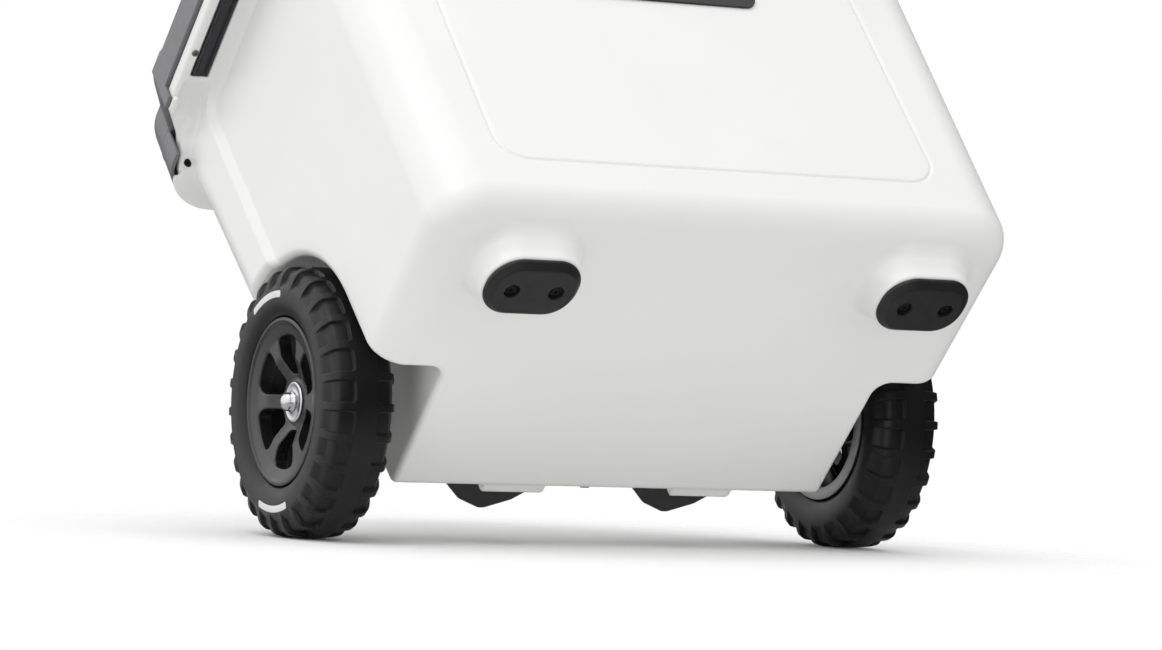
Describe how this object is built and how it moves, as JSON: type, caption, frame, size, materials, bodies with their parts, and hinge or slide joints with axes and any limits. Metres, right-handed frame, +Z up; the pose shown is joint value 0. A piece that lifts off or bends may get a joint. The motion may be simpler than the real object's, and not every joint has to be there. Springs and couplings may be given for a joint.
{
  "type": "wheeled cooler",
  "caption": "Insulated wheeled cooler with a hinged lid, side grips, telescoping pull handle, drain plug, rubber latches and large lugged tyres on spoked rims.",
  "frame": {"origin": "on the ground at the centre of the overall outline, seen from above", "axes": "+Z up, +Y to the rear where the hinge, the axle and the pull handle are, +X to the right along the axle; the latches face -Y"},
  "size_m": [0.72, 0.5258, 0.547],
  "materials": {
    "shell_white": "satin white moulded polyethylene",
    "liner_white": "smooth white moulded liner",
    "foam": "rigid insulating foam",
    "lid_grey": "satin mid grey moulded plastic",
    "pad_rubber": "dark grey non-slip rubber",
    "steel": "stainless steel",
    "grip_rubber": "soft black grip rubber",
    "black_plastic": "satin black moulded plastic",
    "latch_rubber": "stretchy black rubber",
    "chrome": "bright plated steel",
    "axle_steel": "zinc plated steel",
    "tyre_rubber": "black moulded rubber tyre",
    "rim_plastic": "dark grey moulded plastic",
    "bush_nylon": "natural nylon",
    "seal_rubber": "black sealing rubber",
    "tube_metal": "anodised aluminium tube",
    "button_grey": "mid grey plastic button"
  },
  "bodies": {
    "tub": {"body_shell": "shell_white", "body_foam": "foam", "liner": "liner_white", "top_frame": "shell_white", "foot_pad_left": "pad_rubber", "foot_pad_right": "pad_rubber", "foot_screws": "steel", "side_grip_left": "grip_rubber", "side_grip_right": "grip_rubber", "grip_screws": "steel", "front_badge": "black_plastic", "latch_keepers": "black_plastic", "keeper_screws": "steel", "axle": "axle_steel", "wheel_spacers": "black_plastic", "axle_washers": "chrome", "axle_nuts": "chrome", "hinge_pins": "steel", "hinge_screws": "steel", "drain_fitting": "black_plastic", "drain_seal": "seal_rubber", "lower_bracket_left": "black_plastic", "lower_bracket_right": "black_plastic", "upper_bracket": "black_plastic", "bracket_screws": "steel", "outer_tube_left": "tube_metal", "outer_tube_right": "tube_metal"},
    "wheel_left": {"tyre_left": "tyre_rubber", "rim_left": "rim_plastic", "hub_bush_left": "bush_nylon"},
    "wheel_right": {"tyre_right": "tyre_rubber", "rim_right": "rim_plastic", "hub_bush_right": "bush_nylon"},
    "lid": {"lid_shell": "lid_grey", "lid_foam": "foam", "lid_liner": "liner_white", "lid_gasket": "seal_rubber", "latch_pins": "steel"},
    "latch_left": {"latch_left": "latch_rubber"},
    "latch_right": {"latch_right": "latch_rubber"},
    "drain_plug": {"drain_plug": "black_plastic"},
    "handle_lower": {"middle_tube_left": "tube_metal", "middle_tube_right": "tube_metal", "middle_collars": "black_plastic"},
    "handle_upper": {"inner_tube_left": "tube_metal", "inner_tube_right": "tube_metal", "handle_grip": "black_plastic", "button_spring": "steel"},
    "release_button": {"release_button": "button_grey"}
  },
  "joints": [
    {"name": "wheel_left_spin", "type": "hinge", "parent": "tub", "child": "wheel_left", "pos_m": [-0.295, 0.135, 0.128], "axis": [1, 0, 0], "continuous": true},
    {"name": "wheel_right_spin", "type": "hinge", "parent": "tub", "child": "wheel_right", "pos_m": [0.295, 0.135, 0.128], "axis": [1, 0, 0], "continuous": true},
    {"name": "lid_hinge", "type": "hinge", "parent": "tub", "child": "lid", "pos_m": [0, 0.1855, 0.483], "axis": [-1, 0, 0], "range_deg": [0, 95]},
    {"name": "latch_left_swing", "type": "hinge", "parent": "lid", "child": "latch_left", "pos_m": [-0.15, -0.2535, 0.524], "axis": [-1, 0, 0], "range_deg": [0, 120]},
    {"name": "latch_right_swing", "type": "hinge", "parent": "lid", "child": "latch_right", "pos_m": [0.15, -0.2535, 0.524], "axis": [-1, 0, 0], "range_deg": [0, 120]},
    {"name": "drain_plug_turn", "type": "hinge", "parent": "tub", "child": "drain_plug", "pos_m": [0, 0.15482, 0.092], "axis": [0, -1, 0], "range_deg": [0, 90]},
    {"name": "handle_lower_slide", "type": "slide", "parent": "tub", "child": "handle_lower", "axis": [0, 0, -1], "range_m": [-0.29, 0]},
    {"name": "handle_upper_slide", "type": "slide", "parent": "handle_lower", "child": "handle_upper", "axis": [0, 0, -1], "range_m": [-0.29, 0]},
    {"name": "release_button_press", "type": "slide", "parent": "handle_upper", "child": "release_button", "axis": [0, 0, -1], "range_m": [0, 0.002], "stiffness_N_per_m": 900, "deforming": ["button_spring"]}
  ]
}
